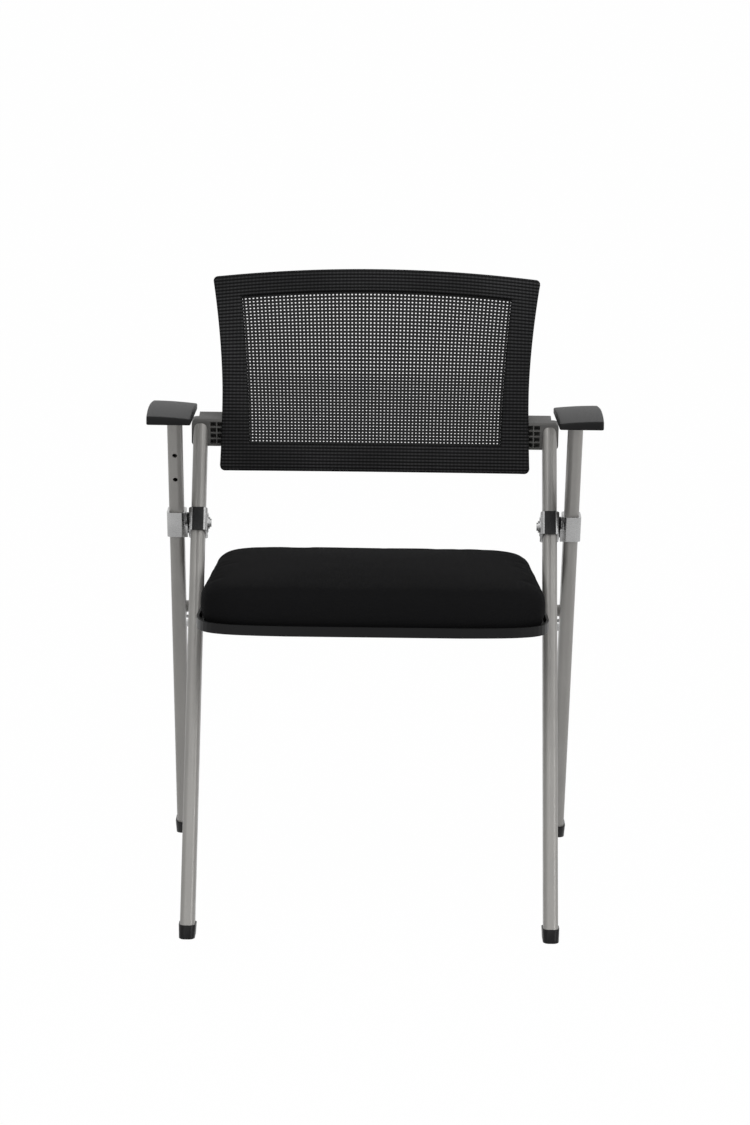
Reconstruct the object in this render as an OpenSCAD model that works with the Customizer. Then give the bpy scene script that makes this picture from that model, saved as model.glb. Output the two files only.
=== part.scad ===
// Folding armchair with crossed oval legs, a mesh back and an upholstered tilting seat

/* [Stance] */
// Height of the main fold pivot above the floor
pivot_h = 487; // [440:1:530]
// How far the front feet stand in front of the pivot
front_reach = 278; // [240:1:320]
// How far the rear feet stand behind the pivot
rear_reach = 202; // [170:1:240]
// Half distance between the centre lines of the front legs
front_half = 235; // [215:0.5:260]
// Gap in width between a front leg and the rear leg beside it
leg_gap = 9.5; // [8.5:0.1:20]

/* [Leg tubes] */
// Width of the oval tube, seen from the front
tube_w = 19; // [16:0.5:22]
// Depth of the oval tube, seen from the side
tube_d = 34; // [30:0.5:44]
// Wall of the oval tube
tube_wall = 1.6; // [1.2:0.1:2.5]
// Length of the front leg tube above the pivot
front_rise = 135; // [125:1:150]
// Length of the rear leg tube above the pivot
rear_rise = 166; // [140:1:180]
// Radius of the round cross tubes
cross_r = 8; // [6:0.5:10]
// Distance from the pivot down to the front cross tube
front_cross_drop = 128; // [124:1:150]
// Distance from the pivot down to the rear cross tube
rear_cross_drop = 155; // [150:1:185]

/* [Feet] */
// Wall of a rubber foot round the tube
foot_wall = 3.2; // [1.5:0.1:4]
// Height of a front foot above the floor
foot_h = 15; // [12:1:24]
// Height of a rear foot above the floor
rear_foot_h = 20; // [14:1:30]
// Rubber under the end of the tube
foot_sole = 5; // [3:0.5:9]

/* [Pivot] */
// Radius of the pivot bolts
bolt_r = 4; // [3:0.5:5]
// Running clearance round a bolt, in radius
run_gap = 0.05; // [0.02:0.01:0.1]
// Height of an outer pivot collar, cut level
collar_len = 36; // [30:1:44]
// Length of an inner pivot collar along its tube
inner_collar_len = 32; // [30:1:40]
// Wall of a pivot collar
collar_wall = 3; // [2:0.25:4]
// Radius of the round boss on a pivot collar
boss_r = 13; // [11:0.5:16]

/* [Seat] */
// Distance from the main pivot down the front leg to the seat pivot
seat_drop = 136.5; // [134:0.5:140]
// Slope of the seat, down to the back
seat_slope = 3; // [0:0.5:6]
// How much further each side of the seat reaches ahead of the legs
front_flare = 8; // [0:0.5:10]
// Gap in width between the seat pan and a front leg
seat_clear = 4.5; // [4:0.5:10]
// Reach of the pan in front of the seat pivot
seat_front = 196; // [170:1:210]
// Reach of the pan behind the seat pivot
seat_rear = 188; // [160:1:196]
// Height of the pan's underside above the seat pivot
pan_lift = 16; // [12:0.5:18]
// Wall of the pan
pan_wall = 3; // [2:0.25:4]
// Height of the pan's rim
pan_rim = 13; // [10:0.5:20]
// Height of the cushion at its edge, above the pan's floor
cushion_edge_h = 52; // [30:1:60]
// Crown of the cushion above its edge
cushion_crown = 7; // [3:1:20]

/* [Back] */
// Recline of the back from upright
back_lean = 9; // [4:0.5:16]
// Height of the back's middle above the main pivot
back_mid_h = 189; // [175:1:220]
// How far the back's middle lies behind the main pivot
back_mid_y = 80; // [74:1:90]
// Half height of the back frame
back_half_h = 130; // [110:1:150]
// Half width of the back frame at its top corners
back_top_half = 220; // [195:0.5:224]
// How much narrower each side of the back is at its waist
waist_in = 14; // [4:0.5:20]
// Rise of the top edge between its corners
back_top_rise = 13; // [0:1:20]
// Depth of the curve of the back, seen from above
back_bow = 14; // [6:1:24]
// Thickness of the back frame
back_t = 14; // [10:0.5:20]
// Height of the border above the mesh window
border_top = 20; // [20:1:40]
// Width of the border beside the mesh window
border_side = 40; // [25:1:50]
// Height of the border below the mesh window
border_low = 33; // [20:1:40]

/* [Arms] */
// Length of an arm pad
pad_len = 236; // [180:1:260]
// Width of an arm pad
pad_w = 61.5; // [50:0.5:66]
// Thickness of an arm pad
pad_t = 13; // [10:0.5:20]
// Reach of an arm pad in front of its post
pad_ahead = 134; // [100:1:160]
// Slope of an arm pad, up to the front
pad_slope = 5; // [0:0.5:10]
// Distance between the two tablet holes in the right arm post
tablet_pitch = 38; // [28:1:44]
// Radius of a tablet hole
tablet_r = 3.2; // [2:0.1:3.5]

/* [Hidden] */
$fn = 48;

// Angles of the two pairs of legs from upright
lean_front = atan(front_reach / pivot_h);
lean_rear = atan(rear_reach / pivot_h);
front_down = pivot_h / cos(lean_front);
rear_down = pivot_h / cos(lean_rear);
rear_half = front_half + tube_w + leg_gap;
seat_half = front_half - tube_w / 2 - seat_clear;
back_waist_half = back_top_half - waist_in;

// Feet reach equally far in front of and behind the origin
foot_d = tube_d + 2 * foot_wall;
front_edge = front_reach + foot_d / 2 / cos(lean_front);
rear_edge = rear_reach + foot_d / 2 / cos(lean_rear);
pivot_y = (front_edge - rear_edge) / 2;

over = 1;
seat_gap = 0.3;
weld = 0.5;
cross_off = tube_d / 2 + cross_r - weld;

steel = [0.62, 0.62, 0.6];
bright = [0.78, 0.78, 0.78];
black = [0.07, 0.07, 0.07];
rubber = [0.13, 0.13, 0.13];
cloth = [0.04, 0.04, 0.045];

// Frames of reference along each leg, with Z up the tube and Y to its rear
module at_pivot() { translate([0, pivot_y, pivot_h]) children(); }
module on_front(s) { at_pivot() translate([s * front_half, 0, 0]) rotate([-lean_front, 0, 0]) children(); }
module on_rear(s) { at_pivot() translate([s * rear_half, 0, 0]) rotate([lean_rear, 0, 0]) children(); }
module on_seat() {
    at_pivot() rotate([-lean_front, 0, 0]) translate([0, 0, -seat_drop])
        rotate([lean_front - seat_slope, 0, 0]) children();
}

// Flat shape with rounded corners
module rounded(w, d, r) {
    square([w - 2 * r, d], center = true);
    square([w, d - 2 * r], center = true);
    for (i = [-1, 1], j = [-1, 1]) translate([i * (w / 2 - r), j * (d / 2 - r)]) circle(r);
}

// Section of a flat tube with well-rounded corners, as it is drawn
corner_share = 0.38;
module oval(w, d) { rounded(w, d, w * corner_share); }
module oval_tube(w, d, wall, low, high) {
    translate([0, 0, low]) linear_extrude(high - low) difference() {
        oval(w, d);
        oval(w - 2 * wall, d - 2 * wall);
    }
}
module cross_bore(r, reach) { rotate([0, 90, 0]) cylinder(r = r, h = 2 * reach, center = true); }

// Front legs carry the back and the seat pivot
module front_leg(s) {
    color(steel) on_front(s) difference() {
        intersection() {
            oval_tube(tube_w, tube_d, tube_wall, foot_sole - front_down + foot_slant(lean_front), front_rise);
            arched(tube_w, front_down + front_rise, front_rise);
        }
        cross_bore(bolt_r + run_gap, tube_w);
        translate([0, 0, -seat_drop]) cross_bore(bolt_r + run_gap, tube_w);
    }
}
function foot_slant(lean) = tube_d / 2 * tan(lean);
// Rod along the tube whose head is arched, seen from the front
arch_share = 0.42;
module arched(w, len, top) {
    r = w * arch_share;
    rotate([90, 0, 0]) linear_extrude(2 * tube_d, center = true) translate([0, top - len / 2])
        rounded(w, len, r);
}

// Rear legs rise in front as the arm posts, and the right one has two tablet holes
tablet_low = 80;
module rear_leg(s) {
    color(steel) on_rear(s) difference() {
        oval_tube(tube_w, tube_d, tube_wall, foot_sole - rear_down + foot_slant(lean_rear), rear_rise + tube_d);
        translate([0, 0, rear_rise]) rotate([-lean_rear - pad_slope, 0, 0]) translate([-tube_w, -tube_d, 0])
            cube([2 * tube_w, 2 * tube_d, 2 * tube_d]);
        x_rod(-s, bolt_r + run_gap, 0, tube_w);
        if (s < 0) for (k = [0, 1]) translate([0, -tube_d / 2, tablet_low + k * tablet_pitch])
            rotate([90, 0, 0]) cylinder(r = tablet_r, h = 2 * tube_wall + 2 * over, center = true);
    }
}

module cross_tube(half, r, wall) {
    rotate([0, 90, 0]) difference() {
        cylinder(r = r, h = 2 * half, center = true);
        cylinder(r = r - wall, h = 2 * half + 2 * over, center = true);
    }
}
module front_cross_tube() {
    color(steel) difference() {
        on_front(0) translate([0, cross_off, -front_cross_drop])
            cross_tube(front_half + tube_w / 2, cross_r, tube_wall);
        for (s = [-1, 1]) on_front(s) leg_core(front_cross_drop);
    }
}
module rear_cross_tube() {
    color(steel) difference() {
        on_rear(0) translate([0, cross_off, -rear_cross_drop])
            cross_tube(rear_half + tube_w / 2, cross_r, tube_wall);
        for (s = [-1, 1]) on_rear(s) leg_core(rear_cross_drop);
    }
}
module leg_core(drop) {
    translate([0, 0, -drop]) linear_extrude(4 * cross_r, center = true) oval(tube_w + run_gap, tube_d + run_gap);
}

// A rubber foot is a tapered cap, cut level with the floor and nearly level at its top
foot_taper_share = 0.8;
foot_cut_share = 0.25;
module foot_cap(lean, down, high) {
    fw = tube_w + 2 * foot_wall;
    sole = foot_slant(lean) + foot_sole - down;
    len = high / cos(lean) + 2 * foot_slant(lean);
    difference() {
        translate([0, 0, sole + len]) mirror([0, 0, 1])
            linear_extrude(len + foot_sole + 2 * foot_slant(lean), scale = foot_taper_share) oval(fw, foot_d);
        translate([0, 0, sole]) linear_extrude(len + over) oval(tube_w + run_gap, tube_d + run_gap);
    }
}
module above_floor(y, lean, high) {
    big = 2 * (front_reach + rear_reach + rear_half);
    intersection() {
        children();
        translate([-big / 2, -big / 2, 0]) cube(big);
        translate([0, y, high]) rotate([-lean * foot_cut_share, 0, 0]) translate([-big / 2, -big / 2, -big]) cube(big);
    }
}
module front_foot(s) {
    color(rubber) above_floor(pivot_y - front_reach, lean_front, foot_h)
        on_front(s) foot_cap(lean_front, front_down, foot_h);
}
module rear_foot(s) {
    color(rubber) above_floor(pivot_y + rear_reach, -lean_rear, rear_foot_h)
        on_rear(s) foot_cap(lean_rear, rear_down, rear_foot_h);
}

// Pivot collars are folded from strip and wrap the tubes where the legs cross
collar_fold_r = 6;
module strap(w, d) {
    rounded(w, d, collar_fold_r);
}
module collar(side, w_out, reach, len) {
    translate([0, 0, -len / 2]) linear_extrude(len) strap(w_out, tube_d + 2 * collar_wall);
    x_rod(side, boss_r, 0, reach);
}
collar_w = tube_w + 2 * collar_wall;
washer_t = 2;
washer_r = boss_r + over;
boss_reach = (rear_half - front_half - washer_t) / 2 - seat_gap / 2;
nut_gap = 0.4;
insert_w_share = 0.6;
insert_h_share = 1.02;
insert_t = 2.2;
module insert_shape(gap) {
    w = collar_w * insert_w_share + gap;
    h = inner_collar_len * insert_h_share + gap;
    translate([-w / 2, -tube_d / 2 - collar_wall - over, -h / 2]) cube([w, insert_t + over, h]);
}
module front_collar(s) {
    color(bright) on_front(s) difference() {
        union() {
            collar(s, collar_w, boss_reach, inner_collar_len);
            translate([-s * (collar_w / 2), 0, 0]) rotate([0, 90, 0])
                cylinder(r = boss_r - 2 * run_gap, h = head_seat, center = true);
        }
        insert_shape(run_gap);
        cross_bore(bolt_r + run_gap, 2 * tube_w);
        tube_space();
    }
}
head_seat = 2;
module collar_insert(s) {
    color(black) on_front(s) intersection() {
        insert_shape(0);
        translate([0, 0, -inner_collar_len / 2]) linear_extrude(inner_collar_len)
            strap(collar_w, tube_d + 2 * collar_wall);
    }
}
flange_w = 6.5;
flange_h_share = 0.62;
flange_down = 3;
flange_t = 5;
collar_up = 1;
module tube_space() {
    translate([0, 0, -collar_len]) linear_extrude(2 * collar_len) oval(tube_w + run_gap, tube_d + run_gap);
}
module rear_collar(s) {
    color(bright) on_rear(s) difference() {
        intersection() {
            union() {
                collar(-s, collar_w, boss_reach, 2 * collar_len);
                translate([-s * (tube_w / 2 + flange_w / 2 - over), -tube_d / 2, -flange_down])
                    cube([flange_w, flange_t, collar_len * flange_h_share], center = true);
            }
            rotate([-lean_rear, 0, 0]) translate([0, 0, collar_up])
                cube([4 * tube_w, 4 * tube_d, collar_len], center = true);
        }
        tube_space();
        x_rod(-s, bolt_r + run_gap, 0, 2 * tube_w);
    }
}

// A pivot bolt runs outwards from its domed head to a nut inside the rear leg
head_r = 8;
head_t = 4;
dome_r_share = 0.7;
dome_t_share = 0.5;
nut_t = 6;
nut_r = 7;
module x_rod(s, r, from, to) { translate([s * from, 0, 0]) rotate([0, s * 90, 0]) cylinder(r = r, h = to - from); }
bolt_in = front_half - collar_w / 2 - head_seat / 2;
bolt_out = rear_half - tube_w / 2 + tube_wall + nut_gap;
module pivot_bolt(s) {
    color(bright) at_pivot() {
        x_rod(s, bolt_r, bolt_in, bolt_out + nut_t);
        x_rod(s, head_r, bolt_in - head_t * dome_t_share, bolt_in);
        x_rod(s, head_r * dome_r_share, bolt_in - head_t, bolt_in - head_t * dome_t_share);
    }
}
module pivot_nut(s) {
    color(bright) at_pivot() difference() {
        translate([s * bolt_out, 0, 0]) rotate([0, s * 90, 0]) cylinder(r = nut_r, h = nut_t, $fn = 6);
        cross_bore(bolt_r + run_gap, 2 * rear_half);
    }
}
module pivot_washer(s) {
    color(black) at_pivot() difference() {
        x_rod(s, washer_r, (front_half + rear_half - washer_t) / 2, (front_half + rear_half + washer_t) / 2);
        cross_bore(bolt_r + run_gap, 2 * rear_half);
    }
}

// Back bracket is a ribbed cast arm from the leg top to the back frame
br_h = 38;
br_d = 40;
br_wall = 3;
br_lap = 30;
br_inner = back_waist_half - br_lap;
br_over = 2.4;
br_side_r = 7;
br_round = 3;
pocket_margin = 2;
br_tilt = 6;
br_cap = 5.5;
br_top = pivot_h + front_rise * cos(lean_front) + tube_d / 2 * sin(lean_front) + br_cap;
br_y = pivot_y + front_rise * sin(lean_front) - tube_d / 2 * cos(lean_front);
rib_cols = 2;
rib_rows = 4;
pocket_depth = 12;
module on_bracket() { translate([0, br_y, br_top]) rotate([br_tilt, 0, 0]) children(); }
module back_bracket(s) {
    outer = front_half + tube_w / 2 + br_over;
    len = outer - br_inner;
    pocket_from = back_waist_half - pocket_margin;
    pocket_to = front_half - tube_w / 2 - br_wall;
    cell_w = (pocket_to - pocket_from) / rib_cols;
    cell_h = (br_h - 2 * br_wall) / rib_rows;
    color(steel) difference() {
        on_bracket() translate([s > 0 ? br_inner : -outer, 0, -br_h]) intersection() {
            rounded_bar(len, br_d, br_h, br_round);
            translate([len / 2, br_d / 2, br_h / 2]) rotate([90, 0, 0]) linear_extrude(2 * br_d, center = true)
                rounded(len, br_h, br_side_r);
        }
        on_front(s) intersection() {
            translate([0, 0, -front_rise]) linear_extrude(2 * front_rise + run_gap)
                oval(tube_w + run_gap, tube_d + run_gap);
            arched(tube_w + run_gap, front_down + front_rise, front_rise + run_gap);
        }
        for (i = [0:rib_cols - 1], j = [0:rib_rows - 1])
            on_bracket() translate([s * (pocket_from + (i + 0.5) * cell_w), pocket_depth / 2 - over / 2,
                br_wall - br_h + (j + 0.5) * cell_h])
                cube([cell_w - br_wall / 2, pocket_depth + over, cell_h - br_wall / 2], center = true);
        pad_sweep(s);
        back_space();
        back_screw_holes(s);
    }
}
// Bar along X with rounded long edges
module rounded_bar(len, d, h, r) {
    rotate([90, 0, 90]) linear_extrude(len) {
        translate([r, 0]) square([d - 2 * r, h]);
        translate([0, r]) square([d, h - 2 * r]);
        for (y = [r, d - r], z = [r, h - r]) translate([y, z]) circle(r = r);
    }
}

// Back frame, a bowed ring under the folded edge of the mesh
back_r = (back_top_half * back_top_half + back_bow * back_bow) / (2 * back_bow);
module on_back() {
    translate([0, pivot_y + back_mid_y, pivot_h + back_mid_h]) rotate([-back_lean, 0, 0]) children();
}
waist_share = 0.2;
waist_power = 1.7;
low_flare = 2.5;
flare_share = 0.3;
flare_power = 1.5;
function waist(v) = back_waist_half
    + waist_in * pow(max(0, (v + waist_share) / (1 + waist_share)), waist_power)
    + low_flare * pow(max(0, (-v - flare_share) / (1 - flare_share)), flare_power);
corner_r = 9;
edge_steps = 12;
function side_pts() = [for (i = [0:edge_steps]) let (v = -1 + 2 * i / edge_steps)
    [waist(v), v * (back_half_h - corner_r)]];
function arc_pts(cx, cy, r, a0, a1, n) = [for (i = [0:n])
    let (a = a0 + (a1 - a0) * i / n) [cx + r * cos(a), cy + r * sin(a)]];
function top_pts() = [for (i = [0:edge_steps]) let (u = 1 - 2 * i / edge_steps)
    [u * (back_top_half - corner_r), back_half_h + back_top_rise * (1 - u * u)]];
module back_outline() {
    polygon(concat(
        [for (p = side_pts()) p],
        arc_pts(back_top_half - corner_r, back_half_h - corner_r, corner_r, 15, 75, 4),
        top_pts(),
        arc_pts(corner_r - back_top_half, back_half_h - corner_r, corner_r, 105, 165, 4),
        [for (i = [0:edge_steps]) let (p = side_pts()[edge_steps - i]) [-p[0], p[1]]],
        arc_pts(corner_r - waist(-1), corner_r - back_half_h, corner_r, 195, 255, 4),
        arc_pts(waist(-1) - corner_r, corner_r - back_half_h, corner_r, 285, 345, 4)));
}
window_arch_share = 0.3;
win_top = back_half_h - border_top;
win_low = border_low - back_half_h;
win_top_half = back_top_half - border_side;
win_low_half = back_waist_half - border_side;
module window_outline(grow) {
    polygon([[-win_low_half - grow, win_low - grow], [win_low_half + grow, win_low - grow],
        [win_top_half + grow, win_top + grow], [0, win_top + back_top_rise * window_arch_share + grow],
        [-win_top_half - grow, win_top + grow]]);
}
// Bowed slab, measured from the middle surface of the back
module bowed_slab(from, to) {
    translate([0, -back_r, 0]) difference() {
        cylinder(r = back_r + to, h = 3 * back_half_h, center = true, $fn = 180);
        cylinder(r = back_r + from, h = 4 * back_half_h, center = true, $fn = 180);
        translate([0, -back_r, 0]) cube([3 * back_r, 3 * back_r, 5 * back_half_h], center = true);
    }
}
module stand_up(deep) { rotate([90, 0, 0]) linear_extrude(deep, center = true) children(); }
module back_frame() {
    color(cloth) on_back() intersection() {
        bowed_slab(-back_t / 2, back_t / 2);
        stand_up(4 * back_t) difference() {
            back_outline();
            window_outline(0);
        }
    }
}
module back_space() {
    on_back() intersection() {
        bowed_slab(-4 * back_t, back_t / 2 + seat_gap);
        stand_up(10 * back_t) back_outline();
    }
}

// Mesh is a net of strands across the window, set in a slot of the frame
mesh_cols = 20;
mesh_rows = 12;
mesh_t = 1.6;
strand = 3;
module back_mesh() {
    w = 2 * win_top_half;
    h = win_top - win_low;
    px = w / mesh_cols;
    pz = h / mesh_rows;
    color(black) on_back() intersection() {
        bowed_slab(-mesh_t / 2, mesh_t / 2);
        stand_up(4 * back_t) difference() {
            window_outline(-seat_gap);
            intersection() {
                window_outline(-strand);
                for (i = [0:mesh_cols - 1], j = [0:mesh_rows - 1])
                    translate([(i + 0.5) * px - w / 2, win_low + (j + 0.5) * pz])
                        square([px - strand, pz - strand], center = true);
            }
        }
    }
}

// Two screws on each side hold the back frame to its brackets
screw_r = 2.5;
screw_head_r = 4.5;
screw_head_t = 3;
screw_inset = 16;
screw_x = br_inner + screw_inset;
screw_rise = 9;
module back_screw_places(s) {
    for (k = [-1, 1]) on_bracket() translate([s * screw_x, br_d, k * screw_rise - br_h / 2])
        rotate([90, 0, 0]) children();
}
module back_screw_holes(s) {
    back_screw_places(s) translate([0, 0, -over]) cylinder(r = screw_r + run_gap, h = br_d + over);
}
module back_screws() {
    color(black) for (s = [-1, 1]) back_screw_places(s) {
        translate([0, 0, -screw_head_t]) cylinder(r = screw_head_r, h = screw_head_t);
        cylinder(r = screw_r, h = br_d - back_t);
    }
}

// Arm pads on steel plates at the heads of the posts
plate_t = 3;
plate_len = 110;
plate_w = 30;
pad_over = 3.5;
pad_inner = front_half + pad_over;
// The bracket's outer end is cut back where the arm pad sweeps over it
sweep_r = rear_rise * cos(lean_rear + pad_slope) + plate_t - over;
module pad_sweep(s) {
    at_pivot() difference() {
        x_rod(s, 2 * sweep_r, pad_inner - over, pad_inner + tube_w);
        x_rod(s, sweep_r, 0, pad_inner + 2 * tube_w);
    }
}
module on_arm(s) {
    on_rear(s) translate([0, 0, rear_rise]) rotate([-lean_rear - pad_slope, 0, 0]) children();
}
module arm_plate(s) {
    color(steel) on_arm(s) difference() {
        translate([-plate_w / 2, -plate_len / 2, 0]) cube([plate_w, plate_len, plate_t]);
        arm_screw_holes();
    }
}
arm_screw_share = 0.36;
arm_screw_y = arm_screw_share * plate_len;
arm_screw_len = plate_t + pad_t / 2;
pad_lead = 3;
pad_splay = 8;
pad_sag = 2.5;
pad_steps = 12;
pad_corner = 12;
pad_behind = pad_len - pad_ahead;
// Plan of a pad, narrower in front, and its side view with a slight arch
function ease(t) = let (k = min(1, max(0, t))) k * k * (3 - 2 * k);
function pad_plan(w, in, front, rear, r) = concat(
    arc_pts(in + w - r, rear - r, r, 0, 90, 6),
    arc_pts(in + r / 2, rear - r / 2, r / 2, 90, 180, 4),
    arc_pts(in + pad_lead + r / 3, front + r / 3, r / 3, 180, 270, 3),
    arc_pts(in + w - pad_splay - r / 3, front + r / 3, r / 3, 270, 360, 3));
function pad_side() = concat([[pad_behind, 0], [-pad_ahead, 0]],
    [for (i = [0:pad_steps]) let (t = i / pad_steps)
        [t * pad_len - pad_ahead, pad_t - pad_sag * pow(2 * t - 1, 2)]]);
module arm_pad(s) {
    in = pad_inner - rear_half;
    color(black) on_arm(s) mirror([s > 0 ? 0 : 1, 0, 0]) difference() {
        translate([0, 0, plate_t]) intersection() {
            linear_extrude(pad_t) polygon(pad_plan(pad_w, in, -pad_ahead, pad_behind, pad_corner));
            rotate([90, 0, 90]) linear_extrude(4 * pad_w, center = true) polygon(pad_side());
        }
        arm_screw_holes();
    }
}
module arm_screw_holes() {
    for (k = [-1, 1]) translate([0, k * arm_screw_y, -over])
        cylinder(r = screw_r + run_gap, h = arm_screw_len + 2 * over);
}
module arm_screws() {
    color(black) for (s = [-1, 1], k = [-1, 1]) on_arm(s) translate([0, k * arm_screw_y, 0]) {
        translate([0, 0, -screw_head_t]) cylinder(r = screw_head_r, h = screw_head_t);
        cylinder(r = screw_r, h = arm_screw_len);
    }
}

// Seat pan and cushion share one boxy rounded plan that narrows to the rear
plan_power = 8;
plan_steps = 56;
rear_taper_share = 0.03;
front_bow = 10;
flare_from = 50;
flare_run = 60;
function sgn_pow(v, p) = sign(v) * pow(abs(v), p);
function seat_pt(a, inset) = let (
        x = (seat_half - inset) * sgn_pow(cos(a), 2 / plan_power),
        y = (sin(a) > 0 ? seat_rear - inset : seat_front - inset) * sgn_pow(sin(a), 2 / plan_power),
        ahead = ease((-y - flare_from) / flare_run),
        k = 1 - rear_taper_share * pow(max(0, y / seat_rear), 2) + front_flare / seat_half * ahead,
        back = y < 0 ? front_bow * pow(x / seat_half, 2) * pow(y / seat_front, 2) : 0)
    [x * k, y + back];
function seat_ring(inset) = [for (i = [0:plan_steps - 1]) seat_pt(360 * (i + 0.5) / plan_steps, inset)];
module seat_pan() {
    color(black) on_seat() translate([0, 0, pan_lift]) difference() {
        linear_extrude(pan_rim) polygon(seat_ring(0));
        translate([0, 0, pan_wall]) linear_extrude(pan_rim) polygon(seat_ring(pan_wall));
    }
}

// Cushion profile, as insets and shares of the edge height, then the crown
cushion_gap = 0.5;
side_in = [7, 4.5, 3.6, 0.8, 0, 0.6, 2.4, 7, 15];
side_share = [0, 0.1, 0.19, 0.27, 0.48, 0.68, 0.84, 0.95, 1];
crown_share = [0.75, 0.5, 0.25];
function cushion_levels() = concat(
    [for (i = [0:len(side_in) - 1]) [side_in[i], side_share[i] * cushion_edge_h]],
    [for (c = crown_share) [seat_half - (seat_half - side_in[len(side_in) - 1]) * c,
        cushion_edge_h + cushion_crown * (1 - c * c) ]]);
function cushion_pt(a, inset, z) = let (
        f = (seat_half - inset) / seat_half,
        p = seat_pt(a, 0))
    inset <= side_in[len(side_in) - 1] ? concat(seat_pt(a, inset), z) : [p[0] * f, p[1] * f, z];
module seat_cushion() {
    lv = cushion_levels();
    n = plan_steps;
    m = len(lv);
    pts = concat(
        [for (l = lv, i = [0:n - 1]) cushion_pt(360 * (i + 0.5) / n, l[0], l[1])],
        [[0, 0, 0], [0, 0, cushion_edge_h + cushion_crown]]);
    sides = [for (j = [0:m - 2], i = [0:n - 1]) let (k = (i + 1) % n)
        each [[j * n + i, (j + 1) * n + i, (j + 1) * n + k], [j * n + i, (j + 1) * n + k, j * n + k]]];
    ends = [for (i = [0:n - 1]) let (k = (i + 1) % n)
        each [[i, k, n * m], [(m - 1) * n + k, (m - 1) * n + i, n * m + 1]]];
    color(cloth) on_seat() translate([0, 0, pan_lift + pan_wall + cushion_gap]) polyhedron(pts, concat(sides, ends));
}

// Steel hangers under the pan turn on the seat bolts
hang_t = 4;
flange_h = 3;
hang_half = 30;
hang_r = 8;
hang_in = 34;
hang_clear = 3;
hang_x = front_half - tube_w / 2 - hang_clear;
flange_screw_x = 13;
flange_screw_in = 9;
flange_head_t = 2;
module seat_bracket(s) {
    color(steel) on_seat() difference() {
        union() {
            translate([s > 0 ? hang_x - hang_t : -hang_x, -hang_r, 0]) cube([hang_t, 2 * hang_r, pan_lift]);
            x_rod(s, hang_r, hang_x - hang_t, hang_x);
            translate([s > 0 ? hang_x - hang_in : -hang_x, -hang_half, pan_lift - flange_h])
                cube([hang_in, 2 * hang_half, flange_h]);
        }
        cross_bore(bolt_r + run_gap, 2 * front_half);
    }
}
seat_nut_t = 5;
module seat_bolt(s) {
    color(bright) at_pivot() rotate([-lean_front, 0, 0]) translate([0, 0, -seat_drop]) {
        x_rod(s, bolt_r, hang_x - hang_t - seat_nut_t, front_half + tube_w / 2 + over);
        x_rod(s, nut_r, hang_x - hang_t - seat_nut_t - seat_gap, hang_x - hang_t - seat_gap);
        x_rod(s, head_r, front_half + tube_w / 2, front_half + tube_w / 2 + head_t * dome_r_share);
    }
}
module seat_washer(s) {
    color(black) at_pivot() rotate([-lean_front, 0, 0]) translate([0, 0, -seat_drop]) difference() {
        x_rod(s, hang_r, hang_x + seat_gap, front_half - tube_w / 2 - seat_gap / 2);
        cross_bore(bolt_r + run_gap, 2 * front_half);
    }
}

// Rubber rests under the pan sit on the rear cross tube
rest_x = 150;
rest_w = 26;
rest_half = 14;
module seat_rest(s) {
    color(rubber) on_seat() translate([s * rest_x - rest_w / 2, rest_y() - rest_half, rest_low])
        cube([rest_w, 2 * rest_half, pan_lift - rest_low]);
}
// Place of the rear cross tube in the seat's own frame
tube_y = rear_cross_drop * sin(lean_rear) + cross_off * cos(lean_rear);
tube_z = cross_off * sin(lean_rear) - rear_cross_drop * cos(lean_rear);
seat_y0 = -seat_drop * sin(lean_front);
seat_z0 = -seat_drop * cos(lean_front);
function rest_y() = (tube_y - seat_y0) * cos(seat_slope) - (tube_z - seat_z0) * sin(seat_slope);
function rest_tube_z() = (tube_y - seat_y0) * sin(seat_slope) + (tube_z - seat_z0) * cos(seat_slope);
rest_low = rest_tube_z() + cross_r + seat_gap;

// Short screws hold the hangers to the pan
module seat_screws() {
    color(bright) on_seat() for (s = [-1, 1], k = [-1, 1])
        translate([s * (hang_x - hang_in + flange_screw_x), k * (hang_half - flange_screw_in),
            pan_lift - flange_h - flange_head_t]) cylinder(r = screw_head_r, h = flange_head_t);
}

front_leg(1);  // front_leg_left
front_leg(-1);  // front_leg_right
front_cross_tube();
front_foot(1);  // front_foot_left
front_foot(-1);  // front_foot_right
front_collar(1);  // front_collar_left
front_collar(-1);  // front_collar_right
collar_insert(1);  // collar_insert_left
collar_insert(-1);  // collar_insert_right
pivot_bolt(1);  // pivot_bolt_left
pivot_bolt(-1);  // pivot_bolt_right
pivot_nut(1);  // pivot_nut_left
pivot_nut(-1);  // pivot_nut_right
back_bracket(1);  // back_bracket_left
back_bracket(-1);  // back_bracket_right
back_frame();
back_mesh();
back_screws();
seat_bolt(1);  // seat_bolt_left
seat_bolt(-1);  // seat_bolt_right
rear_leg(1);  // rear_leg_left
rear_leg(-1);  // rear_leg_right
rear_cross_tube();
rear_foot(1);  // rear_foot_left
rear_foot(-1);  // rear_foot_right
rear_collar(1);  // rear_collar_left
rear_collar(-1);  // rear_collar_right
pivot_washer(1);  // pivot_washer_left
pivot_washer(-1);  // pivot_washer_right
arm_plate(1);  // arm_plate_left
arm_plate(-1);  // arm_plate_right
arm_pad(1);  // arm_pad_left
arm_pad(-1);  // arm_pad_right
arm_screws();
seat_pan();
seat_cushion();
seat_bracket(1);  // seat_bracket_left
seat_bracket(-1);  // seat_bracket_right
seat_washer(1);  // seat_washer_left
seat_washer(-1);  // seat_washer_right
seat_rest(1);  // seat_rest_left
seat_rest(-1);  // seat_rest_right
seat_screws();
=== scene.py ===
"""Folding armchair: crossed oval legs, a bowed mesh back, moulded arm pads and a tilting seat."""

from __future__ import annotations

import logging
import math
from dataclasses import dataclass
from enum import Enum
from typing import Iterable

import bmesh
import bpy
from mathutils import Matrix, Vector


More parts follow.
